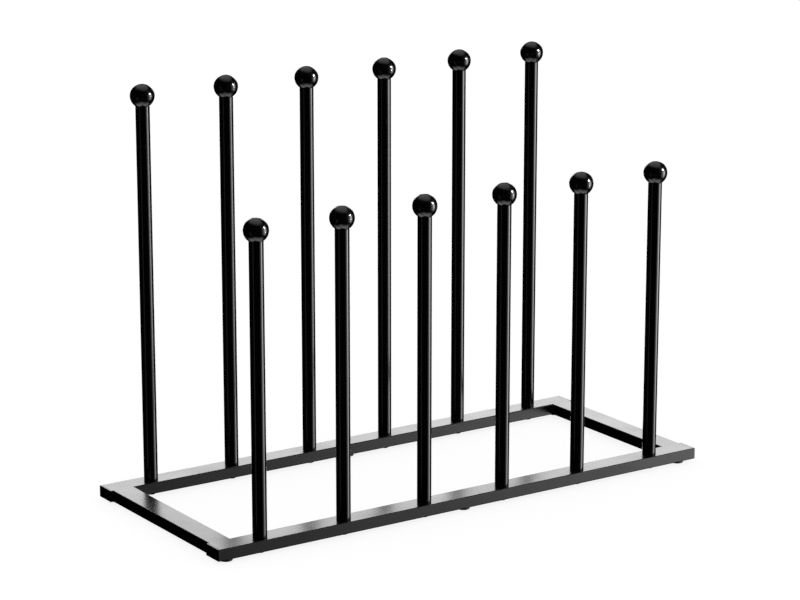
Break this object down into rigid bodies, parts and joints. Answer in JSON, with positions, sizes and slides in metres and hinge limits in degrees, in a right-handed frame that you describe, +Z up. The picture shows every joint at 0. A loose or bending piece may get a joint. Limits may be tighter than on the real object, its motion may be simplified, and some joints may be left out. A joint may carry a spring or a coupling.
{
  "type": "shoe rack",
  "caption": "Free-standing rack for shoes and boots: a flat base of rectangular tube with a tall back row and a lower front row of ball-capped upright posts.",
  "frame": {"origin": "centre of the bounding box in plan, on the plane the feet stand on", "axes": "+X along the rails towards the rack's right end, +Y from the short front row to the tall back row, +Z up along the posts"},
  "size_m": [0.611, 0.251, 0.4453],
  "materials": {
    "frame_coating": "gloss black stove coating on steel tube",
    "weld_coating": "gloss black coating over weld beads",
    "post_coating": "gloss black stove coating on drawn round tube",
    "ball_plastic": "gloss moulded black",
    "plug_plastic": "gloss moulded black",
    "foot_plastic": "satin moulded black",
    "bolt_zinc": "black zinc plate",
    "insert_steel": "turned steel, bare"
  },
  "bodies": {
    "root": {"front_rail": "frame_coating", "back_rail": "frame_coating", "left_end_bar": "frame_coating", "right_end_bar": "frame_coating", "frame_welds": "weld_coating", "front_left_plug": "plug_plastic", "front_right_plug": "plug_plastic", "front_left_foot": "foot_plastic", "front_middle_foot": "foot_plastic", "front_right_foot": "foot_plastic", "back_left_plug": "plug_plastic", "back_right_plug": "plug_plastic", "back_left_foot": "foot_plastic", "back_middle_foot": "foot_plastic", "back_right_foot": "foot_plastic", "tall_post_1": "post_coating", "tall_ball_1": "ball_plastic", "tall_insert_1": "insert_steel", "tall_post_2": "post_coating", "tall_ball_2": "ball_plastic", "tall_insert_2": "insert_steel", "tall_post_3": "post_coating", "tall_ball_3": "ball_plastic", "tall_insert_3": "insert_steel", "tall_post_4": "post_coating", "tall_ball_4": "ball_plastic", "tall_insert_4": "insert_steel", "tall_post_5": "post_coating", "tall_ball_5": "ball_plastic", "tall_insert_5": "insert_steel", "tall_post_6": "post_coating", "tall_ball_6": "ball_plastic", "tall_insert_6": "insert_steel", "tall_post_bolts": "bolt_zinc", "short_post_1": "post_coating", "short_ball_1": "ball_plastic", "short_insert_1": "insert_steel", "short_post_2": "post_coating", "short_ball_2": "ball_plastic", "short_insert_2": "insert_steel", "short_post_3": "post_coating", "short_ball_3": "ball_plastic", "short_insert_3": "insert_steel", "short_post_4": "post_coating", "short_ball_4": "ball_plastic", "short_insert_4": "insert_steel", "short_post_5": "post_coating", "short_ball_5": "ball_plastic", "short_insert_5": "insert_steel", "short_post_6": "post_coating", "short_ball_6": "ball_plastic", "short_insert_6": "insert_steel", "short_post_bolts": "bolt_zinc"}
  },
  "joints": []
}
